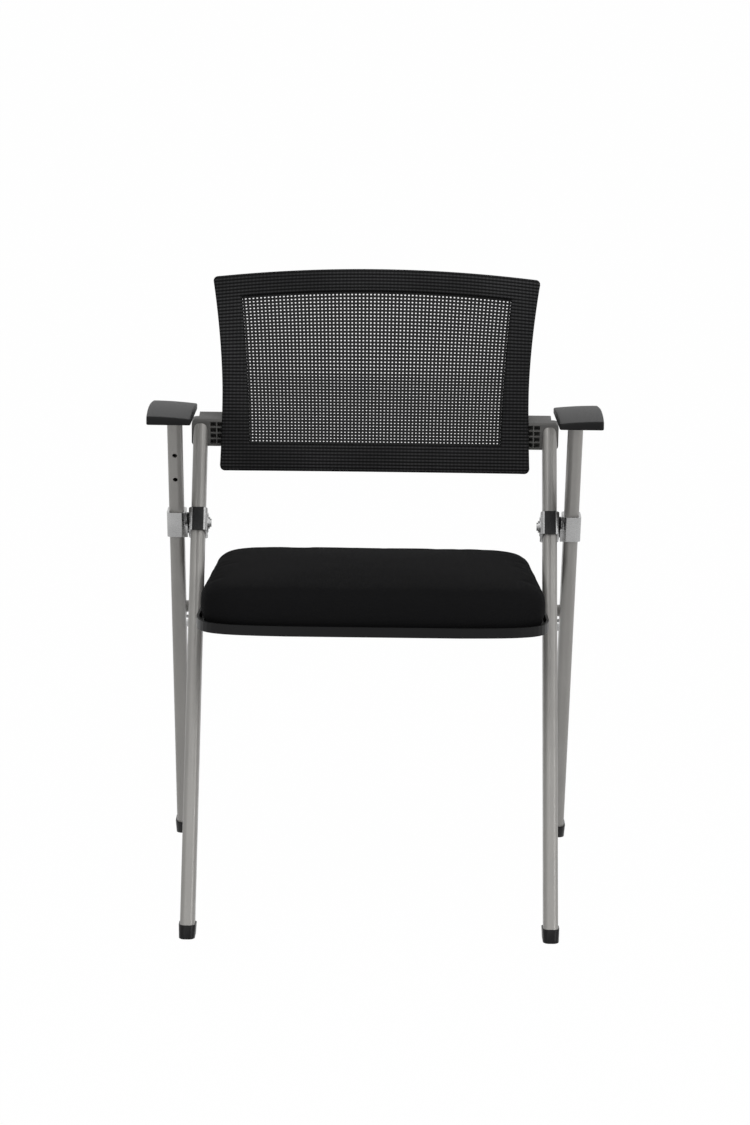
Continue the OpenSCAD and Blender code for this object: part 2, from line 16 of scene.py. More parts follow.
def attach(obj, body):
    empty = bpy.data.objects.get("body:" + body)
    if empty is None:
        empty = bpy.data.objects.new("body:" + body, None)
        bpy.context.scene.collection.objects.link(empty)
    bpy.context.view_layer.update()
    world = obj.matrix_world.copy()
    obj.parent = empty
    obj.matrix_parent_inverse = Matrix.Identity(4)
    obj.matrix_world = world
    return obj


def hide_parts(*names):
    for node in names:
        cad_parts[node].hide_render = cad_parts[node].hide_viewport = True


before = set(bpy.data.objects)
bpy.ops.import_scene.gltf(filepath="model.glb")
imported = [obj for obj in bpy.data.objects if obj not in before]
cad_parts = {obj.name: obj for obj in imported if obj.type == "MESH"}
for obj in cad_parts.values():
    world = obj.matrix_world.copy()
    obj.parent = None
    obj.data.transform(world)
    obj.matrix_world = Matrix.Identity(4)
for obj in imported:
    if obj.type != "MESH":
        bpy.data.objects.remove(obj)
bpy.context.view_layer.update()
log = logging.getLogger("armchair")
logging.basicConfig(level=logging.INFO, format="%(name)s: %(message)s")

MM = 0.001
# Points closer than this are merged, and edges shorter than a sliver are removed
WELD = 0.01 * MM
SLIVER = 0.02 * MM
# The values between which a noise mostly lies
MIDDLE = (0.3, 0.7)

# Rows of threads stray by noise of this scale, per metre
STRAY_SCALE = 18.0

Socket = bpy.types.NodeSocket


class Grain(Enum):
    """How the surface of a finish is broken up."""

    PAINTED = "painted"
    CAST = "cast"
    PLATED = "plated"
    MOULDED = "moulded"
    LEATHERY = "leathery"
    RIBBED = "ribbed"
    THREAD = "thread"
    TWILL = "twill"


class Body(Enum):
    """The moving bodies of the chair."""

    FRONT = "front_frame"
    REAR = "rear_frame"
    SEAT = "seat"


class NodeBench:
    """Adds and links the shader nodes of one material or world."""

    def __init__(self, owner: bpy.types.Material | bpy.types.World) -> None:
        """Start with no nodes.

        Args:
            owner: the material or world.
        """
        owner.use_nodes = True
        self.tree = owner.node_tree
        self.tree.nodes.clear()

    def add(self, kind: str, **values: object) -> bpy.types.Node:
        """Add a node and set its properties.

        Args:
            kind: node type, such as "ShaderNodeTexNoise".
            values: properties of the node by name.

        Returns:
            The new node.
        """
        node = self.tree.nodes.new(kind)
        for key, value in values.items():
            setattr(node, key, value)
        return node

    def wire(self, source: Socket, target: Socket) -> None:
        """Link one socket to another."""
        self.tree.links.new(source, target)

    def seen(self) -> Socket:
        """1 for the camera, for mirrors and through glass, otherwise 0."""
        path = self.add("ShaderNodeLightPath")
        indirect = self.calc("MAXIMUM", path.outputs["Is Glossy Ray"],
                             path.outputs["Is Transmission Ray"])
        return self.calc("MAXIMUM", path.outputs["Is Camera Ray"], indirect)

    def places(self, scale: tuple[float, float, float] = (1, 1, 1)) -> Socket:
        """Object coordinates, stretched by a factor along each axis."""
        coords = self.add("ShaderNodeTexCoord")
        mapping = self.add("ShaderNodeMapping")
        mapping.inputs["Scale"].default_value = scale
        self.wire(coords.outputs["Object"], mapping.inputs["Vector"])
        return mapping.outputs["Vector"]

    def noise(self, vector: Socket, scale: float, detail: float) -> Socket:
        """Cloudy noise from 0 to 1 at a scale per metre."""
        node = self.add("ShaderNodeTexNoise")
        node.inputs["Scale"].default_value = scale
        node.inputs["Detail"].default_value = detail
        self.wire(vector, node.inputs["Vector"])
        return node.outputs["Fac"]

    def cells(self, vector: Socket, scale: float) -> Socket:
        """Distance to the nearest cell's middle, as on a pebbled skin."""
        node = self.add("ShaderNodeTexVoronoi", feature="F1")
        node.inputs["Scale"].default_value = scale
        self.wire(vector, node.inputs["Vector"])
        return node.outputs["Distance"]

    def calc(self, kind: str, first: Socket | float, second: Socket | float) -> Socket:
        """Arithmetic on two sockets or numbers.

        Args:
            kind: operation of the Math node.
            first: socket or number.
            second: socket or number.

        Returns:
            The value socket.
        """
        node = self.add("ShaderNodeMath", operation=kind)
        for slot, value in enumerate((first, second)):
            if isinstance(value, (int, float)):
                node.inputs[slot].default_value = value
            else:
                self.wire(value, node.inputs[slot])
        return node.outputs[0]

    def blend(self, first: Socket, second: Socket, share: float) -> Socket:
        """Add two values, of which the first counts by a share and the second by the rest."""
        return self.calc("ADD", self.calc("MULTIPLY", first, share),
                         self.calc("MULTIPLY", second, 1 - share))

    def stretch(self, source: Socket, low: float, high: float,
                ends: tuple[float, float] = (0.0, 1.0)) -> Socket:
        """Map a value between two ends to a range."""
        node = self.add("ShaderNodeMapRange")
        node.inputs["From Min"].default_value = ends[0]
        node.inputs["From Max"].default_value = ends[1]
        node.inputs["To Min"].default_value = low
        node.inputs["To Max"].default_value = high
        self.wire(source, node.inputs["Value"])
        return node.outputs["Result"]

    def rows(self, pitch: float, axis: str, wobble: float = 0.0, laid: str = "Object") -> Socket:
        """A smooth ridge for each row of threads.

        Args:
            pitch: distance between rows, in metres.
            axis: "X", "Y" or "Z", or two of them for rows across both.
            wobble: how far the rows stray, in metres.
            laid: "Object", or "UV" where the rows follow the piece's own map.

        Returns:
            A socket from 0 in a groove to 1 on a ridge.
        """
        coords = self.add("ShaderNodeTexCoord")
        split = self.add("ShaderNodeSeparateXYZ")
        self.wire(coords.outputs[laid], split.inputs[0])
        along = split.outputs[axis[0]]
        if len(axis) > 1:
            both = self.calc("ADD", along, split.outputs[axis[1]])
            along = self.calc("MULTIPLY", both, math.sqrt(0.5))
        if wobble:
            stray = self.noise(coords.outputs["Object"], STRAY_SCALE, 2.0)
            along = self.calc("ADD", along, self.stretch(stray, -wobble, wobble))
        phase = self.calc("MULTIPLY", along, 2 * math.pi / pitch)
        return self.stretch(self.calc("SINE", phase, 0.0), 0.0, 1.0, (-1.0, 1.0))

    def shade(self, source: Socket, dark: tuple, light: tuple) -> Socket:
        """Colour between two colours by a value."""
        node = self.add("ShaderNodeMix", data_type="RGBA")
        colour = [s for s in node.inputs if s.type == "RGBA"]
        colour[0].default_value = (*dark, 1)
        colour[1].default_value = (*light, 1)
        self.wire(source, node.inputs[0])
        return next(s for s in node.outputs if s.type == "RGBA")

    def relief(self, height: Socket, depth: float, strength: float,
               below: Socket | None = None) -> Socket:
        """Bump from a height.

        Args:
            height: socket from 0 to 1.
            depth: real depth in metres.
            strength: how strongly it shades.
            below: normal of a coarser relief under this one.

        Returns:
            The normal socket.
        """
        node = self.add("ShaderNodeBump")
        node.inputs["Distance"].default_value = depth
        node.inputs["Strength"].default_value = strength
        self.wire(height, node.inputs["Height"])
        if below is not None:
            self.wire(below, node.inputs["Normal"])
        return node.outputs["Normal"]


@dataclass(frozen=True)
class Skin:
    """Levels of a surface whose colour drifts in clouds and whose gloss follows a fine pattern.

    Attributes:
        scale: scale of the pattern, per metre.
        detail: detail of the pattern, where it is a noise.
        tints: factors of the colour between which it drifts.
        gloss: change of the roughness at both ends of the pattern.
        depth: depth of the relief, in metres.
        strength: how strongly the relief shades.
        drift: values of the clouds that get the two tints.
        ends: values of the pattern that get the two roughnesses.
    """

    scale: float
    detail: float
    tints: tuple[float, float]
    gloss: tuple[float, float]
    depth: float
    strength: float
    drift: tuple[float, float] = MIDDLE
    ends: tuple[float, float] = MIDDLE


ENAMEL_SKIN = Skin(2400.0, 1.0, (0.86, 1.12), (-0.05, 0.07), 0.04 * MM, 0.18)
CAST_SKIN = Skin(700.0, 2.0, (0.8, 1.15), (-0.08, 0.1), 0.2 * MM, 0.35)
PLATED_SKIN = Skin(160.0, 3.0, (0.75, 1.12), (-0.06, 0.1), 0.02 * MM, 0.02, drift=(0.35, 0.65))
MOULDED_SKIN = Skin(1500.0, 2.0, (0.8, 1.25), (-0.06, 0.1), 0.08 * MM, 0.3)
LEATHERY_SKIN = Skin(900.0, 0.0, (0.82, 1.2), (-0.05, 0.14), 0.15 * MM, 0.4, ends=(0.0, 0.8))
# The cloth's two tints go to its weave and fuzz: painted shade between the threads, lighter where
# they cross
TWILL_SKIN = Skin(900.0, 2.0, (0.6, 1.7), (-0.05, 0.1), 0.3 * MM, 0.5)


@dataclass(frozen=True)
class Threads:
    """Levels of a surface whose colour, gloss and relief all follow its threads.

    Attributes:
        tints: factors of the colour in a groove and on a ridge, painted shade in the groove and a
            painted highlight on the ridge.
        gloss: change of the roughness in a groove and on a ridge.
        depth: depth of the relief, in metres.
        strength: how strongly the relief shades.
    """

    tints: tuple[float, float]
    gloss: tuple[float, float]
    depth: float
    strength: float


# The knit is coloured lighter on its ribs and darker in its grooves: painted highlight and
# painted shade
KNIT = Threads((0.15, 3.2), (0.12, -0.08), 0.6 * MM, 0.6)
# The net's twist is coloured lighter on its ridges and darker in its grooves: painted highlight
# and painted shade
TWIST = Threads((0.6, 1.6), (0.1, -0.1), 0.2 * MM, 0.5)

# The knit: its ribs, the knots along them, how low a knot's ends lie, and how far broad wear
# darkens or lightens it
RIB_PITCH = 4.43 * MM
KNOT_PITCH = 4.9 * MM
KNOT_FLOOR = 0.55
WEAR = (0.6, 1.2)
# The twist of the net's threads and the two directions of the cloth's weave
THREAD_PITCH = 1.1 * MM
WARP_PITCH = 1.3 * MM
WEFT_PITCH = 1.1 * MM
# How far rows of thread stray
STRAY = 0.1 * MM
# The streaks of the plating lie level, so they change fastest along the height
STREAK = (1, 1, 12)
# Scales per metre of the broad clouds, the changes of gloss and the waves of the cloth
CLOUD_SCALE = 9.0
GLOSS_SCALE = 45.0
WAVE_SCALE = 22.0
WAVE_DEPTH = 1.5 * MM


@dataclass(frozen=True)
class Finish:
    """One finish of the chair, from which a material is made.

    Attributes:
        name: name of the material.
        slot: slot of the record that it belongs to, not used.
        colour: base colour, linear.
        grain: how the surface is broken up.
        rough: mean roughness.
        metal: metalness.
        shine: how strongly it mirrors, 0.5 for plain plastic.
    """

    name: str
    slot: str
    colour: tuple[float, float, float]
    grain: Grain
    rough: float
    metal: float = 0.0
    shine: float = 0.5

    def tint(self, factor: float) -> tuple[float, float, float]:
        """The colour made darker or lighter."""
        return tuple(min(1.0, c * factor) for c in self.colour)

    def material(self) -> bpy.types.Material:
        """Make the material, once.

        Returns:
            The material with its nodes.
        """
        made = bpy.data.materials.get(self.name)
        if made:
            return made
        made = bpy.data.materials.new(self.name)
        bench = NodeBench(made)
        shader = bench.add("ShaderNodeBsdfPrincipled")
        out = bench.add("ShaderNodeOutputMaterial")
        bench.wire(shader.outputs[0], out.inputs["Surface"])
        shader.inputs["Metallic"].default_value = self.metal
        shader.inputs["Specular IOR Level"].default_value = self.shine
        tone, gloss, normal = self.surface(bench)
        bench.wire(tone, shader.inputs["Base Color"])
        bench.wire(gloss, shader.inputs["Roughness"])
        bench.wire(normal, shader.inputs["Normal"])
        return made

    def surface(self, bench: NodeBench) -> tuple[Socket, Socket, Socket]:
        """Colour, roughness and normal of this finish.

        Args:
            bench: the material's nodes.

        Returns:
            Three sockets: colour, roughness, normal.
        """
        where = bench.places()
        cloud = bench.noise(where, CLOUD_SCALE, 4.0)
        match self.grain:
            case Grain.PAINTED:
                return self.painted(bench, where, cloud)
            case Grain.CAST:
                return self.grained(bench, where, cloud, CAST_SKIN)
            case Grain.PLATED:
                return self.grained(bench, bench.places(STREAK), cloud, PLATED_SKIN)
            case Grain.MOULDED:
                return self.grained(bench, where, cloud, MOULDED_SKIN)
            case Grain.LEATHERY:
                pebbles = bench.cells(where, LEATHERY_SKIN.scale)
                return self.even(bench, cloud, pebbles, LEATHERY_SKIN)
            case Grain.RIBBED:
                return self.knitted(bench, cloud)
            case Grain.THREAD:
                # The twist gives both the relief and the colour: painted highlight on its ridges,
                # painted shade in its grooves
                twist = bench.rows(THREAD_PITCH, "X")
                return self.threaded(bench, twist, twist, TWIST)
            case _:
                return self.woven(bench, where)

    def drifting(self, bench: NodeBench, cloud: Socket, skin: Skin) -> Socket:
        """Colour that drifts between the two tints of a skin."""
        level = bench.stretch(cloud, 0, 1, skin.drift)
        return bench.shade(level, self.tint(skin.tints[0]), self.tint(skin.tints[1]))

    def glossed(self, bench: NodeBench, pattern: Socket, skin: Skin) -> Socket:
        """Roughness that follows a pattern."""
        return bench.stretch(pattern, self.rough + skin.gloss[0], self.rough + skin.gloss[1],
                             skin.ends)

    def even(self, bench: NodeBench, cloud: Socket, pattern: Socket, skin: Skin) -> tuple:
        """A surface with drifting colour, whose gloss and relief follow one pattern."""
        normal = bench.relief(pattern, skin.depth, skin.strength)
        return self.drifting(bench, cloud, skin), self.glossed(bench, pattern, skin), normal

    def grained(self, bench: NodeBench, where: Socket, cloud: Socket, skin: Skin) -> tuple:
        """A surface whose pattern is a fine noise."""
        return self.even(bench, cloud, bench.noise(where, skin.scale, skin.detail), skin)

    def painted(self, bench: NodeBench, where: Socket, cloud: Socket) -> tuple:
        """Enamel with fine specks and broad, faint changes of gloss."""
        skin = ENAMEL_SKIN
        speck = bench.noise(where, skin.scale, skin.detail)
        tone = self.drifting(bench, bench.blend(cloud, speck, 0.45), skin)
        gloss = self.glossed(bench, bench.noise(where, GLOSS_SCALE, 3.0), skin)
        return tone, gloss, bench.relief(speck, skin.depth, skin.strength)

    def threaded(self, bench: NodeBench, ridge: Socket, level: Socket, threads: Threads) -> tuple:
        """A surface that follows its ridges, with the colour at a level of its own: painted
        highlight where the level is high and painted shade where it is low.
        """
        tone = bench.shade(level, self.tint(threads.tints[0]), self.tint(threads.tints[1]))
        gloss = bench.stretch(ridge, self.rough + threads.gloss[0], self.rough + threads.gloss[1])
        return tone, gloss, bench.relief(ridge, threads.depth, threads.strength)

    def knitted(self, bench: NodeBench, cloud: Socket) -> tuple:
        """Level ribs of knots, laid on the piece's own map, coloured lighter on the ribs and
        knots as painted highlight and darker between them as painted shade, and drifting with
        broad wear.
        """
        ribs = bench.rows(RIB_PITCH, "Y", 1.2 * STRAY, "UV")
        knots = bench.rows(KNOT_PITCH, "X", 2 * STRAY, "UV")
        knit = bench.calc("MULTIPLY", ribs, bench.stretch(knots, KNOT_FLOOR, 1.0))
        # Ribs lighter than the grooves between them are painted highlight and painted shade; the
        # broad clouds are wear
        rib_shade_and_wear = bench.calc("MULTIPLY", knit, bench.stretch(cloud, *WEAR, MIDDLE))
        return self.threaded(bench, knit, rib_shade_and_wear, KNIT)

    def woven(self, bench: NodeBench, where: Socket) -> tuple:
        """Cloth with a fine weave and fuzz, over broad soft waves; its colour is lighter where
        the threads cross and darker between them, painted shade of the weave mixed with random
        fuzz.
        """
        skin = TWILL_SKIN
        warp = bench.rows(WARP_PITCH, "XZ", STRAY)
        weft = bench.rows(WEFT_PITCH, "YZ", STRAY)
        fuzz = bench.noise(where, skin.scale, skin.detail)
        mixed = bench.blend(bench.calc("MULTIPLY", warp, weft), fuzz, 0.6)
        # Lighter where the threads cross and darker between them: painted shade of the weave,
        # with random fuzz
        tone = bench.shade(mixed, self.tint(skin.tints[0]), self.tint(skin.tints[1]))
        waves = bench.relief(bench.noise(where, WAVE_SCALE, 2.0), WAVE_DEPTH, 0.25)
        normal = bench.relief(mixed, skin.depth, skin.strength, waves)
        return tone, self.glossed(bench, fuzz, skin), normal


BLACK = (0.006, 0.006, 0.0064)


class Finishes:
    """Every finish of the chair."""

    ENAMEL = Finish("tube_enamel", "grey_enamel", (0.285, 0.277, 0.264), Grain.PAINTED, 0.36,
                    metal=0.2)
    CAST = Finish("bracket_enamel", "cast_grey", (0.13, 0.128, 0.124), Grain.CAST, 0.5, shine=0.1)
    BRIGHT = Finish("bright_plating", "bright_steel", (0.42, 0.42, 0.42), Grain.PLATED, 0.26,
                    metal=1.0)
    DARK_STEEL = Finish("dark_plating", "black_steel", (0.03, 0.03, 0.03), Grain.PLATED, 0.35,
                        metal=0.6)
    GLOSS = Finish("gloss_plastic", "black_plastic", BLACK, Grain.MOULDED, 0.22, shine=0.25)
    PLASTIC = Finish("pan_plastic", "black_plastic", BLACK, Grain.MOULDED, 0.38, shine=0.15)
    PAD = Finish("pad_plastic_skin", "pad_plastic", (0.008, 0.008, 0.0083), Grain.LEATHERY, 0.42,
                 shine=0.11)
    RUBBER = Finish("foot_rubber", "black_rubber", BLACK, Grain.MOULDED, 0.36, shine=0.15)
    NET = Finish("net_thread", "mesh", (0.018, 0.018, 0.0185), Grain.THREAD, 0.6, shine=0.1)
    SLEEVE = Finish("sleeve_knit", "mesh_border", (0.0135, 0.0135, 0.014), Grain.RIBBED, 0.6,
                    shine=0.06)
    CLOTH = Finish("seat_weave", "seat_cloth", (0.0078, 0.0078, 0.0082), Grain.TWILL, 0.85,
                   shine=0.02)


class Maker:
    """Turns bmeshes into finished pieces that ride on the frame."""

    @staticmethod
    def node_mesh(node: str) -> bmesh.types.BMesh:
        """Copy the mesh of a CAD node, with its doubles merged."""
        bm = bmesh.new()
        bm.from_mesh(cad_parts[node].data)
        bmesh.ops.remove_doubles(bm, verts=bm.verts, dist=WELD)
        return bm

    @staticmethod
    def added(name: str, bm: bmesh.types.BMesh) -> bpy.types.Object:
        """Make an object from a bmesh and put it in the scene."""
        mesh = bpy.data.meshes.new(name)
        bm.to_mesh(mesh)
        bm.free()
        obj = bpy.data.objects.new(name, mesh)
        bpy.context.scene.collection.objects.link(obj)
        return obj

    @staticmethod
    def piece(name: str, bm: bmesh.types.BMesh, finish: Finish, body: Body,
              stands_for: Iterable[str], crease: float) -> bpy.types.Object:
        """Make a piece of the chair from a bmesh, and shade, dress and attach it.

        Args:
            name: name of the piece.
            bm: the finished shape, in metres, in the chair's frame.
            finish: its finish.
            body: the body that carries it.
            stands_for: CAD nodes that it replaces.
            crease: angle in degrees past which an edge stays sharp.

        Returns:
            The new object.
        """
        bmesh.ops.recalc_face_normals(bm, faces=bm.faces)
        obj = Maker.added(name, bm)
        mesh = obj.data
        mesh.shade_smooth()
        mesh.set_sharp_from_angle(angle=math.radians(crease))
        mesh.materials.append(finish.material())
        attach(obj, body.value)
        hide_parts(*stands_for)
        log.info("%s: %d faces on %s", obj.name, len(mesh.polygons), body.value)
        return obj

    @staticmethod
    def dress(nodes: Iterable[str], finish: Finish) -> None:
        """Give CAD nodes their material."""
        for name in nodes:
            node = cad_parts[name]
            node.data.materials.clear()
            node.data.materials.append(finish.material())
            log.info("%s: dressed in %s", name, finish.name)

    @staticmethod
    def eased(node: str, name: str, finish: Finish, body: Body, width: float,
              crease: float = 30.0) -> None:
        """Copy a CAD node with its edges eased, and stand it in the node's place.

        Args:
            node: the CAD node.
            name: name of the piece.
            finish: its finish.
            body: the body that carries it.
            width: width of the eased edge, in metres.
            crease: angle in degrees past which an edge is eased.
        """
        obj = Maker.piece(name, Maker.node_mesh(node), finish, body, [node], crease)
        bevel = obj.modifiers.new("ease", "BEVEL")
        bevel.width = width
        bevel.segments = 2
        bevel.limit_method = "ANGLE"
        bevel.angle_limit = math.radians(crease)
        bevel.harden_normals = True

    @staticmethod
    def rounded(bm: bmesh.types.BMesh, edges: list[bmesh.types.BMEdge], radius: float,
                segments: int) -> None:
        """Round edges of a bmesh."""
        bmesh.ops.bevel(bm, geom=edges, offset=radius, segments=segments, profile=0.5,
                        affect="EDGES", material=-1)

    @staticmethod
    def thickened(bm: bmesh.types.BMesh) -> list[bmesh.types.BMVert]:
        """Close a flat shape with a second layer, and return that layer's points."""
        wall = bmesh.ops.extrude_face_region(bm, geom=bm.faces[:])
        return [g for g in wall["geom"] if isinstance(g, bmesh.types.BMVert)]


def turned(edge: bmesh.types.BMEdge, angle: float) -> bool:
    """Whether the two faces of an edge meet at more than an angle in degrees."""
    return edge.calc_face_angle(0) > math.radians(angle)


def clipped(value: float) -> float:
    """A value kept within 0 and 1."""
    return min(1.0, max(0.0, value))


@dataclass
class BackRest:
    """Bowed back: a knitted sleeve over a ring, with an open net in its window.

    Attributes:
        centre: middle of the back, in metres.
        lean: recline in degrees.
        half_h: half of the height at the sides.
        top_half: half of the width at the top.
        waist_half: half of the width at the waist.
        flare_from: height, from -1 to 1, where the sides start to flare up to the top.
        flare_power: how the flare grows.
        foot_flare: how far the sides flare again at the bottom.
        foot_from: height below the middle where that starts.
        foot_power: how it grows.
        rise: how far the top edge is arched.
        bow: how far the sides stand ahead of the middle.
        thick: thickness of the sleeve.
        crown: how far its faces swell.
        border_side: width of its border at each side.
        border_top: width of its border at the top.
        border_low: width of its border at the bottom.
        window_in: how much narrower half of the window is at its bottom.
        window_power: how the window widens upwards.
        tuck: how far the net reaches under the border.
        sleeve_grid: faces of the sleeve across and up.
        sleeve_edge: where the border starts on that grid, across and up.
        corner: radius of the corners.
        rim: radius of the rims.
        columns: openings of the net across.
        lines: openings of the net up.
        strand: half of a strand's width.
        thread: thickness of the net.
    """

    centre: tuple[float, float, float] = (0.0, 0.118682, 0.676)
    lean: float = 9.0
    half_h: float = 130 * MM
    top_half: float = 220 * MM
    waist_half: float = 206 * MM
    flare_from: float = -0.2
    flare_power: float = 1.7
    foot_flare: float = 2.5 * MM
    foot_from: float = 0.3
    foot_power: float = 1.5
    rise: float = 13 * MM
    bow: float = 14 * MM
    thick: float = 14 * MM
    crown: float = 1.2 * MM
    border_side: float = 39 * MM
    border_top: float = 30.5 * MM
    border_low: float = 37 * MM
    window_in: float = 12 * MM
    window_power: float = 1.6
    tuck: float = 3 * MM
    sleeve_grid: tuple[int, int] = (60, 40)
    sleeve_edge: tuple[float, float] = (0.8, 0.75)
    corner: float = 9 * MM
    rim: float = 3.5 * MM
    columns: int = 72
    lines: int = 47
    strand: float = 1.56 * MM
    thread: float = 0.9 * MM

    def half_at(self, v: float) -> float:
        """Half width at a height from -1 to 1."""
        up = max(0.0, (v - self.flare_from) / (1 - self.flare_from)) ** self.flare_power
        down = max(0.0, (-v - self.foot_from) / (1 - self.foot_from)) ** self.foot_power
        return self.waist_half + up * (self.top_half - self.waist_half) + self.foot_flare * down

    def window_at(self, z: float) -> float:
        """Half width of the window at a height."""
        high = 2 * self.half_h - self.border_low - self.border_top
        share = min(1.1, max(0.0, (z + self.half_h - self.border_low) / high))
        narrowing = self.window_in * (1 - share ** self.window_power)
        return self.top_half - self.border_side - narrowing

    def arch(self, x: float, z: float) -> float:
        """How far a place is lifted, most at the middle of the top edge."""
        lift = clipped(z / (self.half_h - self.border_top))
        return self.rise * (1 - (x / self.top_half) ** 2) * lift

    def chart(self, bm: bmesh.types.BMesh) -> None:
        """Map the flat shape, so that the rows of the knit follow its arch."""
        layer = bm.loops.layers.uv.new("knit")
        for face in bm.faces:
            for loop in face.loops:
                place = loop.vert.co
                lift = self.arch(place.x, min(place.z, self.half_h))
                loop[layer].uv = (place.x, place.z - lift)

    def lay(self, bm: bmesh.types.BMesh) -> None:
        """Bow a flat shape in XZ and set it at the back's place."""
        radius = (self.top_half ** 2 + self.bow ** 2) / (2 * self.bow)
        for vert in bm.verts:
            vert.co.y += math.sqrt(radius ** 2 - vert.co.x ** 2) - radius
        turn = Matrix.Rotation(math.radians(-self.lean), 4, "X")
        bmesh.ops.transform(bm, matrix=Matrix.Translation(self.centre) @ turn, verts=bm.verts)

    @staticmethod
    def banded(t: float, edge: float, low: float, high: float, end: float) -> float:
        """Map -1..1 so that -edge and edge fall on low and high, and the ends on +-end."""
        if t < -edge:
            return -end + (t + 1) / (1 - edge) * (low + end)
        if t > edge:
            return high + (t - edge) / (1 - edge) * (end - high)
        return low + (t + edge) / (2 * edge) * (high - low)

    def spot(self, u: float, v: float) -> tuple[float, float]:
        """Place on the flat back for values of -1 to 1 on the sleeve's grid."""
        edge_u, edge_v = self.sleeve_edge
        low, high = self.border_low - self.half_h, self.half_h - self.border_top
        z = self.banded(v, edge_v, low, high, self.half_h)
        window = self.window_at(z)
        x = self.banded(u, edge_u, -window, window, self.half_at(z / self.half_h))
        return x, z + self.arch(x, z)

    def sleeve(self) -> bpy.types.Object:
        """The knitted sleeve round the ring."""
        bm = bmesh.new()
        across, up = self.sleeve_grid
        bmesh.ops.create_grid(bm, x_segments=across, y_segments=up, size=1)
        edge_u, edge_v = self.sleeve_edge
        window = [f for f in bm.faces if abs(f.calc_center_median().x) < edge_u
                  and abs(f.calc_center_median().y) < edge_v]
        bmesh.ops.delete(bm, geom=window, context="FACES")
        for vert in bm.verts:
            u, v = vert.co.x, vert.co.y
            outward = max((abs(u) - edge_u) / (1 - edge_u), (abs(v) - edge_v) / (1 - edge_v))
            share = clipped(outward)
            x, z = self.spot(u, v)
            vert.co = (x, -self.thick / 2 - self.crown * 4 * share * (1 - share), z)
        for vert in Maker.thickened(bm):
            vert.co.y = -vert.co.y
        bm.normal_update()
        posts = [e for e in bm.edges if turned(e, 50)
                 and abs(e.verts[0].co.y - e.verts[1].co.y) > self.thick / 2
                 and abs(e.verts[0].co.x) > self.waist_half - 2 * MM]
        Maker.rounded(bm, posts, self.corner, 5)
        rims = [e for e in bm.edges if turned(e, 60)
                and abs(e.verts[0].co.y - e.verts[1].co.y) < MM]
        Maker.rounded(bm, rims, self.rim, 4)
        bmesh.ops.dissolve_degenerate(bm, dist=SLIVER, edges=bm.edges)
        self.chart(bm)
        self.lay(bm)
        return Maker.piece("back_sleeve", bm, Finishes.SLEEVE, Body.FRONT, ["back_frame"], 60)

    def net(self, sleeve: bpy.types.Object) -> None:
        """The open net, stretched across the window."""
        bm = bmesh.new()
        bmesh.ops.create_grid(bm, x_segments=self.columns, y_segments=self.lines, size=1)
        cells = bm.faces[:]
        low = self.border_low - self.half_h - self.tuck
        high = self.half_h - self.border_top + self.tuck
        for vert in bm.verts:
            z = low + (vert.co.y + 1) / 2 * (high - low)
            x = vert.co.x * (self.window_at(z) + self.tuck)
            vert.co = (x, 0, z + self.arch(x, z))
        bm.normal_update()
        bmesh.ops.inset_individual(bm, faces=cells, thickness=self.strand, use_even_offset=True)
        bmesh.ops.delete(bm, geom=cells, context="FACES")
        self.lay(bm)
        obj = Maker.piece("back_net", bm, Finishes.NET, Body.FRONT, ["back_mesh"], 60)
        wall = obj.modifiers.new("thread", "SOLIDIFY")
        wall.thickness = self.thread
        wall.offset = 0

    def build(self) -> None:
        """Make the sleeve and the net, and dress the screws behind them."""
        self.net(self.sleeve())
        Maker.dress(["back_screws"], Finishes.DARK_STEEL)


